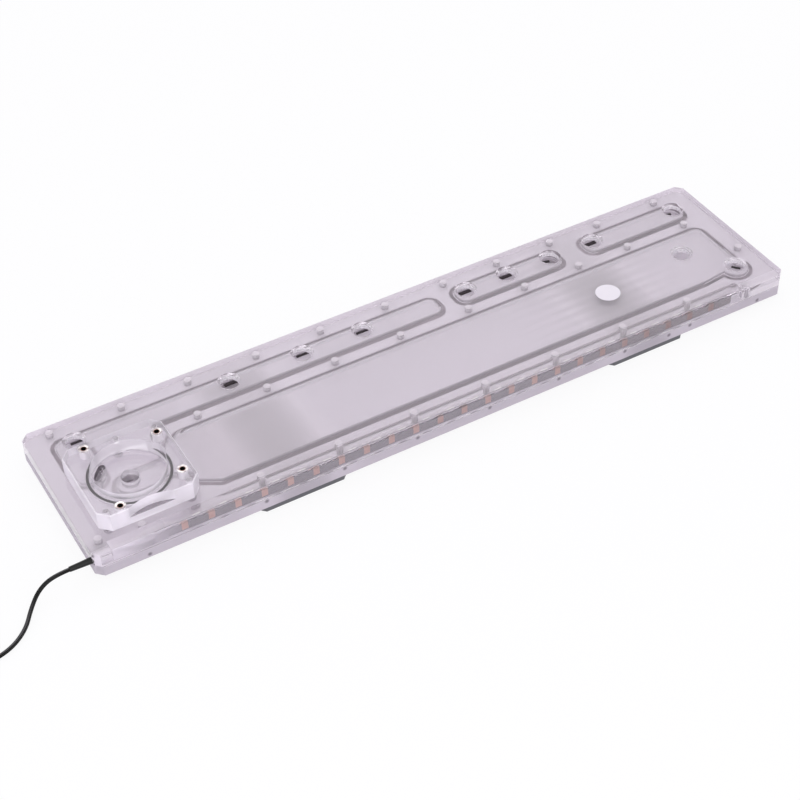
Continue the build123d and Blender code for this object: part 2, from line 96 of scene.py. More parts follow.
# Ends of the front row of screws, as they show on the plate's front edge: X and Z in millimetres
screw_end_spots = (
    (-208.5, 5.3), (-135.2, 8.3), (-84.3, 8.5), (-35.1, 8.7), (15.2, 8.7),
    (65.1, 8.7), (114.4, 8.7), (148.4, 6.8), (164.7, 7.9), (218.7, 5.2),
)

# Lead: the route's points, as in the model's source, in millimetres
lead_route = [
    (-253.0, -50.35, 12.0),
    (-263.0, -50.35, 12.0),
    (-272.0, -50.6, 6.4),
    (-279.7, -57.6, 2.7),
    (-287.4, -69.0, 1.4),
    (-299.5, -77.8, 1.4),
    (-314.5, -80.5, 1.4),
    (-329.5, -80.5, 1.4),
]
lead_diameter = 2.6
coil_mean_radius = 14.3
coil_wide = 3
tail_length = 18.0


def deselect():
    bpy.ops.object.select_all(action="DESELECT")


def place_camera():
    """Sets the camera by its place and by the turn, dip and tilt of its line of sight."""
    yaw, pitch, roll = radians(camera_yaw), radians(camera_pitch), radians(camera_roll)
    ahead = Vector((sin(yaw) * cos(pitch), cos(yaw) * cos(pitch), -sin(pitch)))
    level = Vector((cos(yaw), -sin(yaw), 0.0))
    upright = level.cross(ahead)
    right = cos(roll) * level + sin(roll) * upright
    up = cos(roll) * upright - sin(roll) * level
    data = bpy.data.cameras.new("camera")
    data.sensor_width = 36.0
    data.lens = camera_lens
    data.clip_start = 0.01
    data.clip_end = 50.0
    camera = bpy.data.objects.new("camera", data)
    bpy.context.scene.collection.objects.link(camera)
    turned = Matrix((right, up, -ahead)).transposed().to_4x4()
    camera.matrix_world = Matrix.Translation(Vector(camera_place) * mm) @ turned
    bpy.context.scene.camera = camera


def coil_route():
    """Points of the neat coil. In the same quarter of every turn it moves to the next slot of the coil."""
    steps = 16
    quarter = steps // 4
    centre_x = lead_route[-1][0]
    low = lead_route[-1][2]
    outer = coil_mean_radius + (coil_wide - 1) * lead_diameter / 2
    centre_y = lead_route[-1][1] + outer
    inward = [(outer - n * lead_diameter, low) for n in range(coil_wide)]
    outward = [(radius, low + lead_diameter) for radius, _ in reversed(inward)]
    slots = inward + outward + inward[:1]
    # A smooth line of order three cuts its corners, so its points stand out by this much
    swell = 8.0 / (6.0 + 2.0 * cos(2 * pi / steps))
    points = []
    for step in range(1, (len(slots) - 2) * steps + quarter + 1):
        turn, phase = divmod(step, steps)
        moved = min(phase / quarter, 1.0)
        here, after = slots[turn], slots[turn + 1]
        radius = (here[0] + (after[0] - here[0]) * moved) * swell
        height = here[1] + (after[1] - here[1]) * moved
        angle = -pi / 2 - 2 * pi * step / steps
        points.append((centre_x + radius * cos(angle), centre_y + radius * sin(angle), height))
    tail_x = centre_x - outer
    points += [(tail_x, centre_y + tail_length * share, low) for share in (0.35, 0.7, 1.0)]
    return points


def lead_section():
    """Outline of the lead: three round cores that touch, in one skin."""
    core_from_middle = 0.62
    core_radius = lead_diameter / 2 - core_from_middle
    data = bpy.data.curves.new("lead_section", "CURVE")
    outline = data.splines.new("POLY")
    count = 36
    outline.points.add(count - 1)
    for number, point in enumerate(outline.points):
        angle = 2 * pi * number / count
        off = (angle + pi / 3) % (2 * pi / 3) - pi / 3
        reach = core_from_middle * cos(off) + (core_radius**2 - (core_from_middle * sin(off)) ** 2) ** 0.5
        point.co = (reach * cos(angle) * mm, reach * sin(angle) * mm, 0.0, 1.0)
    outline.use_cyclic_u = True
    section = bpy.data.objects.new("lead_section", data)
    bpy.context.scene.collection.objects.link(section)
    return section


def make_lead():
    """The lead's one smooth line: down from its sleeve, along the floor, round the coil and to the plug."""
    data = bpy.data.curves.new("lead", "CURVE")
    data.dimensions = "3D"
    line = data.splines.new("NURBS")
    route = lead_route + coil_route()
    line.points.add(len(route) - 1)
    for point, (x, y, z) in zip(line.points, route):
        point.co = (x * mm, y * mm, z * mm, 1.0)
    line.order_u = 3
    line.use_endpoint_u = True
    line.resolution_u = 8
    lead = bpy.data.objects.new("lead", data)
    bpy.context.scene.collection.objects.link(lead)
    middle = [tuple(v.co) for v in bpy.data.meshes.new_from_object(lead).vertices]
    section = lead_section()
    data.bevel_mode = "OBJECT"
    data.bevel_object = section
    data.use_fill_caps = True
    data.twist_mode = "Z_UP"
    deselect()
    bpy.context.view_layer.objects.active = lead
    lead.select_set(True)
    bpy.ops.object.convert(target="MESH")
    bpy.data.objects.remove(section)
    bpy.ops.object.mode_set(mode="EDIT")
    bpy.ops.mesh.select_all(action="SELECT")
    bpy.ops.mesh.remove_doubles(threshold=0.000001)
    bpy.ops.mesh.normals_make_consistent(inside=False)
    bpy.ops.object.mode_set(mode="OBJECT")
    bpy.ops.object.shade_smooth_by_angle(angle=radians(40))
    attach(lead, "root")
    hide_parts("light_lead", "light_lead_coil", "light_lead_tail")
    return lead


class Reading:
    """A socket of a finish whose value varies. Python's operators on it add Math nodes."""

    def __init__(self, finish, socket):
        self.finish = finish
        self.socket = socket

    def math(self, operation, first, second=0.0):
        return self.finish.node("ShaderNodeMath", {"operation": operation}, {0: first, 1: second})

    def __add__(self, other):
        return self.math("ADD", self, other)

    __radd__ = __add__

    def __sub__(self, other):
        return self.math("SUBTRACT", self, other)

    def __rsub__(self, other):
        return self.math("SUBTRACT", other, self)

    def __mul__(self, other):
        return self.math("MULTIPLY", self, other)

    def __lt__(self, other):
        return self.math("LESS_THAN", self, other)

    def __gt__(self, other):
        return self.math("GREATER_THAN", self, other)

    def __abs__(self):
        return self.math("ABSOLUTE", self)

    def sine(self):
        return self.math("SINE", self)

    def root(self):
        return self.math("SQRT", self)


def smaller_of(first, second):
    return first.math("MINIMUM", first, second)


def larger_of(first, second):
    return first.math("MAXIMUM", first, second)


def distance(first, second):
    """Distance from the place where both readings are zero."""
    return (first * first + second * second).root()


def distance_to_nearest(first, second, places):
    """Distance to the nearest of some places, each given as two numbers."""
    return reduce(smaller_of, [distance(first - place[0], second - place[1]) for place in places])


def from_bracket(x):
    """Distance along the plate from the middle of the nearer bracket."""
    return reduce(smaller_of, [abs(x - middle) for middle in bracket_middles])


class Finish:
    """One material, or the sky, built node by node."""

    def __init__(self, name, kept_in=bpy.data.materials):
        self.made = kept_in.new(name)
        self.made.use_nodes = True
        self.tree = self.made.node_tree
        self.tree.nodes.clear()

    def node(self, kind, settings=None, sockets=None, output=0):
        made = self.tree.nodes.new(kind)
        for name, value in (settings or {}).items():
            setattr(made, name, value)
        for name, value in (sockets or {}).items():
            if isinstance(value, Reading):
                self.tree.links.new(value.socket, made.inputs[name])
            else:
                made.inputs[name].default_value = value
        return Reading(self, made.outputs[output]) if made.outputs else None

    def place(self):
        return self.node("ShaderNodeTexCoord", output="Object")

    def axes(self):
        """X, Y and Z of the point, in millimetres."""
        split = self.tree.nodes.new("ShaderNodeSeparateXYZ")
        self.tree.links.new(self.place().socket, split.inputs[0])
        return [Reading(self, out) * 1000.0 for out in split.outputs]

    def facing(self):
        """X, Y and Z of the way that the surface faces."""
        split = self.tree.nodes.new("ShaderNodeSeparateXYZ")
        normal = self.node("ShaderNodeNewGeometry", output="True Normal")
        self.tree.links.new(normal.socket, split.inputs[0])
        return [Reading(self, out) for out in split.outputs]

    def noise(self, scale, detail=2.0, stretch=(1.0, 1.0, 1.0)):
        spread = self.node("ShaderNodeMapping", None, {"Vector": self.place(), "Scale": stretch})
        return self.node("ShaderNodeTexNoise", None, {"Vector": spread, "Scale": scale, "Detail": detail})

    def tint(self, share, first, second):
        """Mix of two colours, each of them numbers or the colour of another node."""
        ends = [end if isinstance(end, Reading) else (*end, 1.0) for end in (first, second)]
        sockets = {0: share, 6: ends[0], 7: ends[1]}
        return self.node("ShaderNodeMix", {"data_type": "RGBA"}, sockets, output=2)

    def ramp(self, value, low, high, to_low=0.0, to_high=1.0):
        return self.node(
            "ShaderNodeMapRange",
            None,
            {"Value": value, "From Min": low, "From Max": high, "To Min": to_low, "To Max": to_high},
        )

    def rough(self, scale, smoothest, roughest):
        """Roughness that wanders between two values."""
        return self.ramp(self.noise(scale), 0.3, 0.7, smoothest, roughest)

    def bump(self, height, strength, depth):
        return self.node("ShaderNodeBump", None, {"Height": height, "Strength": strength, "Distance": depth})

    def surface(self, sockets):
        return self.node("ShaderNodeBsdfPrincipled", None, sockets)

    def done(self, shader, end="ShaderNodeOutputMaterial"):
        self.node(end, None, {"Surface": shader})
        return self.made

    def ray(self, kind):
        return self.node("ShaderNodeLightPath", output=kind)

    def looked_at(self):
        """One where the camera sees the point, straight, mirrored or through plastic, and zero for light."""
        kinds = ("Is Camera Ray", "Is Glossy Ray", "Is Transmission Ray")
        return reduce(larger_of, [self.ray(kind) for kind in kinds])

    def blend(self, share, first, second):
        """Mix of two shaders; the share is the second one's."""
        return self.node("ShaderNodeMixShader", None, {0: share, 1: first, 2: second})

    def clear_plastic(self, sockets):
        """Surface of acrylic that light passes through, with its own colour and roughness."""
        return self.surface({**sockets, "IOR": 1.49, "Transmission Weight": 1.0})

    def let_light_through(self, shader, colour):
        """Lamp light and scattered light pass straight through the plastic and light what it covers."""
        passing = larger_of(self.ray("Is Shadow Ray"), self.ray("Is Diffuse Ray"))
        open_way = self.node("ShaderNodeBsdfTransparent", None, {"Color": (*colour, 1.0)})
        return self.blend(passing, shader, open_way)


def milled_marks(finish):
    """Fine streaks that the cutter leaves along the plate, with a slow wander across it."""
    streaks = finish.noise(900.0, 2.0, (0.02, 1.0, 0.02))
    passes = finish.noise(160.0, 1.0, (0.03, 1.0, 0.02))
    return streaks * 0.5 + passes * 0.5


def beyond_edge(x, y, edges):
    """How far a point lies outside a water way's rounded outline; below zero it lies inside."""
    left, right, front, back = edges
    along = abs(x - (left + right) / 2) - ((right - left) / 2 - water_way_corner)
    across = abs(y - (front + back) / 2) - ((back - front) / 2 - water_way_corner)
    inner = smaller_of(larger_of(along, across), 0.0)
    outer = distance(larger_of(along, 0.0), larger_of(across, 0.0))
    return outer + inner - water_way_corner


def water_way_shade_lines(finish, x, y):
    """Painted shade: dark lines along the far and the near sides of the water ways, as they show through the
    top.

    The far line lies one to two millimetres inside the edge, and the near line just outside it.
    """
    far_lines = []
    near_lines = []
    for way, edges in water_ways.items():
        left, right, front, back = edges
        middle = (front + back) / 2
        gap = beyond_edge(x, y, edges)
        right_end = (x > right - water_way_corner) * (y > middle - 4.0)
        far_side = larger_of(right_end, (y > back - 3.0) * (x < right))
        far_lines.append(finish.ramp(gap, -2.1, -1.1) * (gap < 0.02) * far_side)
        near_side = (y < middle) * (x > left + water_way_corner)
        if way == "chamber":
            near_side = near_side * (x < chamber_lobe_start)
        near_lines.append((gap > -0.1) * (gap < 0.7) * near_side)
    return reduce(larger_of, far_lines), reduce(larger_of, near_lines)


def satin_acrylic():
    """Front plate: polished top and front, sawn back and right edges, and milled water ways."""
    finish = Finish("satin_acrylic")
    x, y, z = finish.axes()
    level = abs(finish.facing()[2])
    inside = finish.node("ShaderNodeNewGeometry", output="Backfacing")
    outside = 1.0 - inside

    # Where the point lies: on the milled walls and ceilings, in the light groove, or on a cut edge
    wall_foot = 12.3
    bored_from = pocket_ceiling + 0.1
    top = z > plate_top - 0.1
    hollow = (abs(x) < plate_high.x - 1.0) * (abs(y) < plate_high.y - 0.75) * (z < plate_top - 0.1)
    groove = hollow * (y < light_groove_back)
    milled = hollow * (y > light_groove_back)
    wall = milled * (level < 0.5)
    near_wall = wall * inside * (z < bored_from)
    corner_line = wall * outside * (z > wall_foot) * (z < bored_from)
    far_foot = wall * outside * (z < wall_foot)
    bored_wall = wall * (z > bored_from)
    inlet_hole_shade = wall * (distance(x - pump_x, y - pump_y) < 21.5) * (y < 7.0)
    ceiling = milled * (level > 0.5) * (z > joint_height + 0.02)
    joint = hollow * (level > 0.5) * (z < joint_height + 0.02)
    hole_end = ceiling * (abs(z - screw_hole_end) < 0.2)
    end_screw = groove * (x > light_groove_right + 1.0)
    lead_end = groove * finish.ramp(x, -228.0, -180.0, 0.75, 0.0)
    groove_ceiling = groove * (level > 0.5) * (z > 15.0) * (x < light_groove_right) * (x > -180.0)
    cut_corner = (abs(x) + abs(y)) > plate_high.x + plate_high.y - plate_corner - 0.15
    sawn = (y > plate_high.y - 0.15) + (x > plate_high.x - 0.15) + cut_corner * (y > 0.0)
    far_line, near_line = water_way_shade_lines(finish, x, y)
    far_line = far_line * ceiling
    near_line = near_line * joint

    marks = milled_marks(finish)
    cloud = finish.noise(14.0, 2.0)
    rough = wall * 0.34 + ceiling * finish.ramp(marks, 0.3, 0.7, 0.12, 0.2) + joint * 0.15 + sawn * 0.3
    rough = rough + end_screw * 0.25 + top * 0.06 + 0.05
    glass = finish.clear_plastic({
        "Base Color": finish.tint(cloud, (0.93, 0.91, 0.94), (0.96, 0.94, 0.97)),
        "Roughness": rough,
        "Normal": finish.bump(marks * ceiling, 0.04, 0.00005),
    })

    body = finish.tint(cloud, (0.68, 0.62, 0.70), (0.73, 0.67, 0.75))
    # Painted shade: the near walls, seen from inside the plastic, turn darker towards their foot.
    rise = finish.ramp(z, joint_height, pocket_ceiling - 0.1)
    shade = finish.tint(rise, (0.22, 0.185, 0.22), (0.60, 0.55, 0.62))
    painted_edge_shade = (0.13, 0.10, 0.125)
    veil_colour = finish.tint(near_wall, body, shade)
    # Painted shade lines, in a dark colour: at the top of the far walls, and along the far and near sides of
    # the water ways.
    veil_colour = finish.tint(corner_line, veil_colour, painted_edge_shade)
    veil_colour = finish.tint(sawn * inside, veil_colour, (0.98, 0.90, 1.0))
    veil_colour = finish.tint(far_line, veil_colour, painted_edge_shade)
    veil_colour = finish.tint(near_line, veil_colour, (0.22, 0.185, 0.21))
    veil_colour = finish.tint(bored_wall + hole_end, veil_colour, (0.80, 0.74, 0.81))
    # Painted shade on the walls of the hole under the pump block.
    veil_colour = finish.tint(inlet_hole_shade, veil_colour, (0.16, 0.13, 0.16))
    # Painted shade on the light groove's ceiling.
    veil_colour = finish.tint(groove_ceiling, veil_colour, (0.34, 0.28, 0.32))
    veil = finish.surface({"Base Color": veil_colour, "Roughness": 0.5})

    share = near_wall * 0.5 + wall * 0.10 + bored_wall * 0.22 + ceiling * 0.22 + hole_end * 0.35
    share = share + inlet_hole_shade * 0.2 + far_line * 0.5 + near_line * 0.4 + groove_ceiling * 0.12
    share = share + corner_line * 0.6 + far_foot * 0.35 + sawn * inside * 0.25 + end_screw * 0.22
    share = share + joint * 0.5 + sawn * 0.6 + lead_end + top * 0.05 + 0.06
    return finish.done(finish.let_light_through(finish.blend(share, glass, veil), (0.98, 0.97, 0.98)))


def block_acrylic():
    """Brighter plastic of the pump block: sawn white sides, a clear top and a turned recess."""
    finish = Finish("block_acrylic")
    x, y, z = finish.axes()
    level = abs(finish.facing()[2])
    radius = distance(x - pump_x, y - pump_y)

    # Where the point lies, by its distance from the pump's centre
    inlet_reach = 6.0
    slot_inner, slot_outer = 16.0, 20.8
    recess_inner, recess_outer = 21.0, 26.0
    turned_reach = 24.0
    turned = (radius < turned_reach) * (z > recess_floor - 0.5) * (z < block_top - 0.1)
    recess_wall = (radius > recess_inner) * (radius < recess_outer) * (level < 0.5)
    scoop_floor = (radius > recess_outer) * (level > 0.8) * (abs(z - scoop_floor_height) < 0.5)
    slot_wall = (radius > slot_inner) * (radius < slot_outer) * (level < 0.5) * (z < recess_floor + 0.1)
    inlet_wall = (radius < inlet_reach) * (level < 0.5)
    side = (radius > recess_outer) * (level < 0.8)

    rings = (radius * 9.0).sine() * 0.5 + 0.5
    cloud = finish.noise(40.0, 2.0)
    glass = finish.clear_plastic({
        "Base Color": finish.tint(cloud, (0.93, 0.91, 0.95), (0.97, 0.95, 0.98)),
        "Roughness": turned * 0.10 + side * 0.22 + 0.05,
        "Normal": finish.bump(rings * turned, 0.05, 0.00004),
    })
    veil_colour = finish.tint(cloud, (0.70, 0.64, 0.72), (0.76, 0.70, 0.78))
    veil_colour = finish.tint(side + recess_wall + inlet_wall, veil_colour, (0.97, 0.91, 1.0))
    # Painted shade: dark on the walls of the outlet slot, and a dark arc on the scoop's floor.
    veil_colour = finish.tint(slot_wall + scoop_floor, veil_colour, (0.10, 0.08, 0.10))
    veil = finish.surface({"Base Color": veil_colour, "Roughness": 0.4})
    share = turned * 0.10 + recess_wall * 0.34 + side * 0.54 + slot_wall * 0.7
    share = share + inlet_wall * 0.4 + scoop_floor * 0.5 + 0.08
    return finish.done(finish.let_light_through(finish.blend(share, glass, veil), (0.99, 0.985, 0.99)))


def milky_acrylic():
    """Back plate: milky plastic that shows only a soft shade of what lies under it."""
    finish = Finish("milky_acrylic")
    x, y, z = finish.axes()
    top = z > joint_height - 0.1
    front_edge = y < plate_low.y + 0.05
    offset = from_bracket(x)
    cloud = finish.noise(9.0, 2.0)
    marks = milled_marks(finish)
    passes = finish.noise(230.0, 1.0, (0.04, 1.0, 0.04))
    tone = finish.ramp(cloud * 0.4 + passes * 0.6, 0.35, 0.65)
    milk_colour = finish.tint(tone, (0.55, 0.505, 0.565), (0.60, 0.55, 0.62))

    # Streaks that run along the plate, under and beside the label
    streak_spacing = 7.5
    streaks_begin, streaks_full, streaks_fade, streaks_end = 60.0, 110.0, 150.0, 200.0
    wander = finish.noise(60.0, 1.0, (0.1, 1.0, 0.1)) * 3.0
    streak = ((y + wander) * (2 * pi / streak_spacing)).sine() * 0.5 + 0.5
    streak = streak * finish.ramp(x, streaks_begin, streaks_full) * top
    streak = streak * finish.ramp(x, streaks_fade, streaks_end, 1.0, 0.0)
    milk_colour = finish.tint(streak, milk_colour, (0.42, 0.375, 0.43))

    # Shade over the brackets and at the left end of the chamber
    left, _, front, back = water_ways["chamber"]
    in_chamber = (x > left) * (abs(y - (front + back) / 2) < (back - front) / 2 - 0.05)
    left_end = finish.ramp(x, -112.0, -74.0, 0.62, 0.0) * in_chamber
    over_bracket = larger_of(finish.ramp(offset, 8.0, 34.0, 0.5, 0.0), left_end) * top
    milk_colour = finish.tint(over_bracket, milk_colour, (0.42, 0.36, 0.41))

    # Front edge, with the dark ends of the screws
    from_screw_end = distance_to_nearest(x, z, screw_end_spots)
    spot = finish.ramp(from_screw_end, 0.7, 1.8, 0.75, 0.0) * front_edge
    milk_colour = finish.tint(front_edge, milk_colour, (0.51, 0.462, 0.522))
    milk_colour = finish.tint(spot, milk_colour, (0.10, 0.08, 0.10))

    rough = finish.ramp(marks, 0.3, 0.7, 0.75, 0.85)
    bumps = finish.bump(marks, 0.02, 0.00005)
    milk = finish.surface({"Base Color": milk_colour, "Roughness": rough, "Normal": bumps})
    glass_colour = finish.tint(cloud, (0.78, 0.73, 0.80), (0.84, 0.79, 0.86))
    glass = finish.clear_plastic({"Base Color": glass_colour, "Roughness": rough})
    bracket_edge = finish.ramp(abs(offset - 27.0), 0.0, 14.0, 0.40, 0.0)
    share = 0.56 + bracket_edge + front_edge * 0.25 + spot * 0.2
    share = share - finish.ramp(offset, 0.0, 13.0, 0.06, 0.0)
    return finish.done(finish.let_light_through(finish.blend(share, glass, milk), (0.6, 0.57, 0.61)))


def thread_acrylic():
    """Cut threads in the ports, frosted white by the tap."""
    finish = Finish("thread_acrylic")
    cloud = finish.noise(200.0, 2.0)
    glass = finish.clear_plastic({
        "Base Color": finish.tint(cloud, (0.88, 0.85, 0.90), (0.94, 0.92, 0.95)),
        "Roughness": finish.rough(700.0, 0.2, 0.35),
    })
    frost_colour = finish.tint(cloud, (0.80, 0.75, 0.82), (0.88, 0.84, 0.90))
    frost = finish.surface({"Base Color": frost_colour, "Roughness": 0.5})
    return finish.done(finish.let_light_through(finish.blend(0.72, glass, frost), (0.95, 0.93, 0.96)))


def pressed_rubber():
    """Seals pressed against the plastic, which pales them to a brownish grey."""
    finish = Finish("pressed_rubber")
    colour = finish.tint(finish.noise(120.0), (0.27, 0.215, 0.26), (0.33, 0.275, 0.325))
    rough = finish.rough(900.0, 0.5, 0.65)
    bumps = finish.bump(finish.noise(1500.0), 0.2, 0.00005)
    return finish.done(finish.surface({"Base Color": colour, "Roughness": rough, "Normal": bumps}))


def soft_rubber():
    """Matt black rubber of the pump block's seal, also worn by the tabs of painted shade under the ports."""
    finish = Finish("soft_rubber")
    colour = finish.tint(finish.noise(500.0), (0.016, 0.010, 0.014), (0.036, 0.024, 0.033))
    rough = finish.rough(900.0, 0.45, 0.65)
    bumps = finish.bump(finish.noise(1500.0), 0.2, 0.00005)
    return finish.done(finish.surface({"Base Color": colour, "Roughness": rough, "Normal": bumps}))


def screw_steel():
    """Dark zinc, with a thread cut along the shanks."""
    finish = Finish("screw_steel")
    z = finish.axes()[2]
    thread_pitch = 0.7
    above_heads = z > 7.4
    thread = (z * (2 * pi / thread_pitch)).sine() * above_heads
    colour = finish.tint(finish.noise(600.0), (0.20, 0.18, 0.20), (0.32, 0.29, 0.32))
    rough = finish.rough(1200.0, 0.25, 0.4)
    bumps = finish.bump(thread, 0.6, 0.0002)
    return finish.done(finish.surface({
        "Base Color": colour,
        "Roughness": rough,
        "Metallic": 0.4,
        "Normal": bumps,
    }))


def nickel_plate():
    """Bright plating with turning marks, a browned inner rim, painted reflections in blotches and painted
    shade on the outer edge and in each thread.
    """
    finish = Finish("nickel_plate")
    x, y, _ = finish.axes()
    level = abs(finish.facing()[2])
    screws = [place for name, place in mounts.items() if name.startswith("pump_screw_")]
    out = distance_to_nearest(x, y, [(place[0] / mm, place[1] / mm) for place in screws])
    thread = (out < 1.75) * (level < 0.5)
    rim = (out < 1.9) * (level > 0.3)
    edge = out > 3.15
    mark_spacing = 0.3
    turned = (out * (2 * pi / mark_spacing)).sine()
    # Painted reflections: the silver wanders in blotches from dark to bright.
    painted_reflections = finish.ramp(finish.noise(210.0, 1.0), 0.42, 0.6)
    silver = finish.tint(painted_reflections, (0.34, 0.30, 0.32), (0.88, 0.84, 0.84))
    # Painted shade on the outer edge.
    colour = finish.tint(edge, silver, (0.46, 0.42, 0.44))
    colour = finish.tint(rim, colour, (0.40, 0.24, 0.20))
    # Painted shade: the thread in the bore is nearly black.
    colour = finish.tint(thread, colour, (0.012, 0.010, 0.010))
    rough = finish.rough(1000.0, 0.16, 0.28) + thread * 0.4
    return finish.done(finish.surface({
        "Base Color": colour,
        "Roughness": rough,
        "Metallic": 1.0,
        "Normal": finish.bump(turned, 0.12, 0.00005),
    }))


def strip_mask():
    """Dark grey solder mask of the light strip, darker towards the right."""
    finish = Finish("strip_mask")
    darker_right = finish.ramp(finish.axes()[0], *strip_darkening, 0.0, 0.6)
    colour = finish.tint(finish.noise(300.0), (0.12, 0.104, 0.122), (0.155, 0.136, 0.158))
    colour = finish.tint(darker_right, colour, (0.10, 0.07, 0.08))
    rough = finish.rough(900.0, 0.3, 0.45)
    return finish.done(finish.surface({"Base Color": colour, "Roughness": rough}))


def solder_copper():
    """Pale copper of the strip's pads, dull with solder, and darker towards the right."""
    finish = Finish("solder_copper")
    darker_right = finish.ramp(finish.axes()[0], *strip_darkening, 0.0, 0.7)
    colour = finish.tint(finish.noise(350.0), (0.56, 0.35, 0.32), (0.67, 0.47, 0.44))
    colour = finish.tint(darker_right, colour, (0.22, 0.13, 0.125))
    rough = finish.rough(900.0, 0.35, 0.5)
    return finish.done(finish.surface({"Base Color": colour, "Roughness": rough, "Metallic": 0.3}))


def light_dome():
    """White housing with a yellow heart, which is the unlit light itself."""
    finish = Finish("light_dome")
    x, _, z = finish.axes()
    light_pitch = 1000.0 / 60.0
    first_pad = plate_low.x + 54.5
    heart_height = 14.55
    heart_radius = 1.7
    from_first = x - (first_pad + light_pitch / 2)
    along = from_first.math("PINGPONG", from_first, light_pitch / 2)
    heart = distance(along, z - heart_height) < heart_radius
    colour = finish.tint(heart, (0.80, 0.80, 0.78), (0.75, 0.62, 0.25))
    rough = finish.rough(900.0, 0.25, 0.35)
    return finish.done(finish.surface({"Base Color": colour, "Roughness": rough}))


def black_cover():
    """Glossy black insulation of the lead and its wires, with a painted highlight along the top."""
    finish = Finish("black_cover")
    colour = finish.tint(finish.noise(250.0), (0.002, 0.002, 0.002), (0.006, 0.006, 0.006))
    # Painted highlight: paler where the surface faces up.
    top_highlight = finish.ramp(finish.facing()[2], 0.93, 0.995)
    colour = finish.tint(top_highlight, colour, (0.11, 0.105, 0.115))
    rough = finish.rough(700.0, 0.16, 0.26)
    bumps = finish.bump(finish.noise(900.0), 0.12, 0.00006)
    return finish.done(finish.surface({
        "Base Color": colour,
        "Roughness": rough,
        "Normal": bumps,
        "Specular IOR Level": 0.15,
    }))


def shrunk_sleeve():
    """Shrink sleeve, black and a little creased along its length."""
    finish = Finish("shrunk_sleeve")
    colour = finish.tint(finish.noise(300.0), (0.004, 0.004, 0.004), (0.010, 0.010, 0.011))
    creases = finish.noise(1100.0, 2.0, (0.15, 1.0, 1.0))
    rough = finish.ramp(creases, 0.3, 0.7, 0.3, 0.45)
    return finish.done(finish.surface({
        "Base Color": colour,
        "Roughness": rough,
        "Normal": finish.bump(creases, 0.4, 0.0001),
        "Specular IOR Level": 0.3,
    }))


def plug_plastic():
    """Black moulded plastic of the plug, finely grained."""
    finish = Finish("plug_plastic")
    colour = finish.tint(finish.noise(300.0), (0.015, 0.015, 0.016), (0.03, 0.03, 0.032))
    rough = finish.rough(1100.0, 0.4, 0.55)
    bumps = finish.bump(finish.noise(2500.0), 0.25, 0.00004)
    return finish.done(finish.surface({"Base Color": colour, "Roughness": rough, "Normal": bumps}))


def tinned_contact():
    """Bright tin on the plug's contacts."""
    finish = Finish("tinned_contact")
    colour = finish.tint(finish.noise(500.0), (0.66, 0.64, 0.60), (0.78, 0.77, 0.74))
    rough = finish.rough(900.0, 0.2, 0.35)
    return finish.done(finish.surface({"Base Color": colour, "Roughness": rough, "Metallic": 1.0}))


def dark_anodised():
    """Fine blasted and anodised metal of the brackets, with painted shade on the tops under the plate that
    turns to a painted lighter grey away from each bracket's middle.
    """
    finish = Finish("dark_anodised")
    x, _, z = finish.axes()
    top = z > 2.95
    shade_fade = finish.ramp(from_bracket(x), 8.0, 28.0) * top
    colour = finish.tint(finish.noise(60.0, 3.0), (0.11, 0.11, 0.122), (0.15, 0.15, 0.165))
    # Painted shade: the tops under the plate are darker, and turn to a painted lighter grey away from each
    # bracket's middle.
    colour = finish.tint(top, colour, (0.05, 0.048, 0.055))
    colour = finish.tint(shade_fade, colour, (0.62, 0.60, 0.63))
    rough = finish.rough(1500.0, 0.38, 0.5)
    bumps = finish.bump(finish.noise(3000.0), 0.25, 0.00004)
    return finish.done(finish.surface({
        "Base Color": colour,
        "Roughness": rough,
        "Metallic": 0.6,
        "Normal": bumps,
    }))


def label_film():
    """Bare white film of the round sticker."""
    finish = Finish("label_film")
    colour = finish.tint(finish.noise(120.0), (0.80, 0.75, 0.84), (0.86, 0.81, 0.90))
    rough = finish.rough(900.0, 0.35, 0.5)
    return finish.done(finish.surface({"Base Color": colour, "Roughness": rough}))


def wear(material, *objects):
    """Gives pieces a finish in place of what they had."""
    for thing in objects:
        thing.data.materials.clear()
        thing.data.materials.append(material)


def make_port_threads(material):
    """Ridges of the thread inside each port, modelled once and copied to the places of the ports."""
    pitch = 1.337
    wall = 5.87
    top_highlight = 5.55
    bottom = 14.6
    top = 17.6
    deselect()
    bpy.ops.mesh.primitive_circle_add(vertices=64, radius=wall * mm, location=(0.0, 0.0, bottom * mm))
    ring = bpy.context.object
    bpy.ops.object.mode_set(mode="EDIT")
    bpy.ops.mesh.select_all(action="SELECT")

    def grow(rise, scale):
        bpy.ops.mesh.extrude_region_move(TRANSFORM_OT_translate={"value": (0.0, 0.0, rise * mm)})
        bpy.ops.transform.resize(value=(scale, scale, 1.0), center_override=(0.0, 0.0, 0.0))

    root = wall - 0.04
    grow(0.0, root / wall)
    ridges = int((top - bottom) / pitch)
    for _ in range(ridges):
        grow(pitch * 0.42, top_highlight / root)
        grow(pitch * 0.16, 1.0)
        grow(pitch * 0.42, root / top_highlight)
    grow(0.0, wall / root)
    grow(-ridges * pitch, 1.0)
    bpy.ops.mesh.select_all(action="SELECT")
    bpy.ops.mesh.remove_doubles(threshold=0.00001)
    bpy.ops.mesh.normals_make_consistent(inside=False)
    bpy.ops.object.mode_set(mode="OBJECT")
    bpy.ops.object.transform_apply(location=True, rotation=True, scale=True)
    bpy.ops.object.shade_smooth_by_angle(angle=radians(25))
    ports = [place for name, place in mounts.items() if name.startswith("port_")]
    for number, place in enumerate(ports, 1):
        copy = ring.copy()
        copy.data = ring.data.copy()
        copy.name = f"port_thread_{number}"
        bpy.context.scene.collection.objects.link(copy)
        copy.data.transform(Matrix.Translation((place[0], place[1], 0.0)))
        wear(material, copy)
        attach(copy, "root")
    bpy.data.objects.remove(ring)


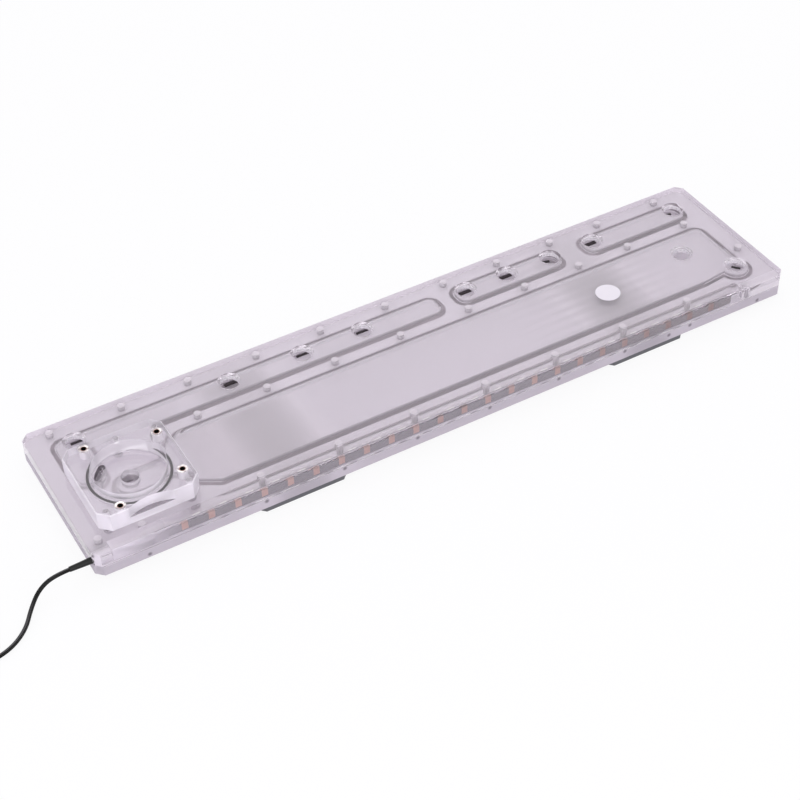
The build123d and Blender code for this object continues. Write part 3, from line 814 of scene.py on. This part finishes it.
def make_port_shade_pieces(material):
    """Black tabs of painted shade on the floor of the water ways, which show black through the open ports.
    One tab is modelled and copied.
    """
    floor = 9.98
    height = 0.7
    # Each tab: how far right of and behind its port's middle, its length, width and turn in degrees
    long_tab = (3.4, 6.5, 8.6, 2.8, 0.0)
    slim_tab = (3.4, 7.0, 8.4, 1.7, 0.0)
    end_tab = (1.0, 5.9, 5.2, 1.9, -14.0)
    lobe_tab = (5.3, 4.6, 6.0, 1.5, -50.0)
    tabs = {1: slim_tab, 2: long_tab, 3: slim_tab, 4: slim_tab, 5: long_tab, 6: long_tab, 7: end_tab}
    tabs.update({8: long_tab, 9: end_tab, 11: lobe_tab})
    deselect()
    bpy.ops.mesh.primitive_cube_add(size=1.0)
    tab = bpy.context.object
    for number, (side, back, length, width, turn) in tabs.items():
        x, y, _ = mounts[f"port_{number}"]
        copy = tab.copy()
        copy.data = tab.data.copy()
        copy.name = f"painted_shade_tab_{number}"
        bpy.context.scene.collection.objects.link(copy)
        size = Matrix.Diagonal((length * mm, width * mm, height * mm, 1.0))
        where = Matrix.Translation((x + side * mm, y + back * mm, (floor + height / 2) * mm))
        copy.data.transform(where @ Matrix.Rotation(radians(turn), 4, "Z") @ size)
        deselect()
        bpy.context.view_layer.objects.active = copy
        copy.select_set(True)
        bpy.ops.object.mode_set(mode="EDIT")
        bpy.ops.mesh.select_all(action="SELECT")
        bpy.ops.mesh.bevel(offset=0.25 * mm, segments=3)
        bpy.ops.object.mode_set(mode="OBJECT")
        bpy.ops.object.shade_smooth_by_angle(angle=radians(50))
        wear(material, copy)
        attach(copy, "root")
    bpy.data.objects.remove(tab)


def make_floor():
    """Pale floor. What looks at it sees it bright, with a light shadow of the plate."""
    deselect()
    bpy.ops.mesh.primitive_plane_add(size=12.0, location=(0.0, 0.0, -0.0002))
    floor = bpy.context.object
    floor.name = "floor"
    finish = Finish("pale_floor")
    matt = finish.node("ShaderNodeBsdfDiffuse", None, {"Color": (0.94, 0.92, 1.0, 1.0)})
    bright = finish.node("ShaderNodeEmission", None, {"Color": (1.0, 1.0, 1.0, 1.0), "Strength": 1.0})
    wear(finish.done(finish.blend(finish.looked_at() * 0.88, matt, bright)), floor)


def make_lamp(name, place, aim, size, power):
    """Square lamp at a place, turned to what it lights."""
    data = bpy.data.lights.new(name, "AREA")
    data.shape = "SQUARE"
    data.size = size
    data.energy = power
    lamp = bpy.data.objects.new(name, data)
    bpy.context.scene.collection.objects.link(lamp)
    lamp.location = place
    lamp.rotation_euler = (Vector(aim) - Vector(place)).to_track_quat("-Z", "Y").to_euler()


def make_studio():
    """Soft lamp in front, a weaker one behind, and a sky that is white wherever it is seen."""
    make_lamp("key_lamp", (-0.8, -1.5, 0.9), (0.0, 0.0, 0.0), 1.4, 14.0)
    make_lamp("back_lamp", (0.5, 1.0, 1.5), (0.0, 0.0, 0.0), 1.2, 3.0)
    sky = Finish("studio", bpy.data.worlds)
    strength = sky.ramp(sky.looked_at(), 0.0, 1.0, 0.8, 1.0)
    white = sky.node("ShaderNodeBackground", None, {"Color": (1.0, 1.0, 1.0, 1.0), "Strength": strength})
    bpy.context.scene.world = sky.done(white, "ShaderNodeOutputWorld")


def set_view():
    """Plain colours, and light bounces enough for layers of clear plastic."""
    scene = bpy.context.scene
    scene.view_settings.view_transform = "Standard"
    scene.cycles.max_bounces = 24
    scene.cycles.transmission_bounces = 20
    scene.cycles.glossy_bounces = 8
    scene.cycles.diffuse_bounces = 4
    scene.cycles.transparent_max_bounces = 24
    scene.cycles.caustics_reflective = False
    scene.cycles.caustics_refractive = False
    scene.cycles.use_denoising = True


place_camera()
lead = make_lead()

rubber = soft_rubber()
lead_pieces = [nodes[name] for name in ("light_wires", "light_lead", "light_lead_coil", "light_lead_tail")]
wear(satin_acrylic(), nodes["front_plate"])
wear(block_acrylic(), nodes["pump_block"])
wear(milky_acrylic(), nodes["back_plate"])
wear(pressed_rubber(), *[nodes[f"{way}_seal"] for way in water_ways])
wear(rubber, nodes["pump_block_seal"])
wear(shrunk_sleeve(), nodes["lead_sleeve"])
wear(screw_steel(), nodes["assembly_screws"], nodes["pump_block_screws"], nodes["bracket_screws"])
wear(nickel_plate(), nodes["pump_inserts"])
wear(strip_mask(), nodes["light_strip_board"])
wear(solder_copper(), nodes["light_strip_pads"])
wear(light_dome(), nodes["light_chips"])
wear(black_cover(), lead, *lead_pieces)
wear(plug_plastic(), nodes["light_plug_housing"])
wear(tinned_contact(), nodes["light_plug_contacts"])
wear(dark_anodised(), nodes["bracket_left"], nodes["bracket_right"])
wear(label_film(), nodes["label"])

make_port_threads(thread_acrylic())
make_port_shade_pieces(rubber)
make_floor()
make_studio()
set_view()

bpy.context.view_layer.update()
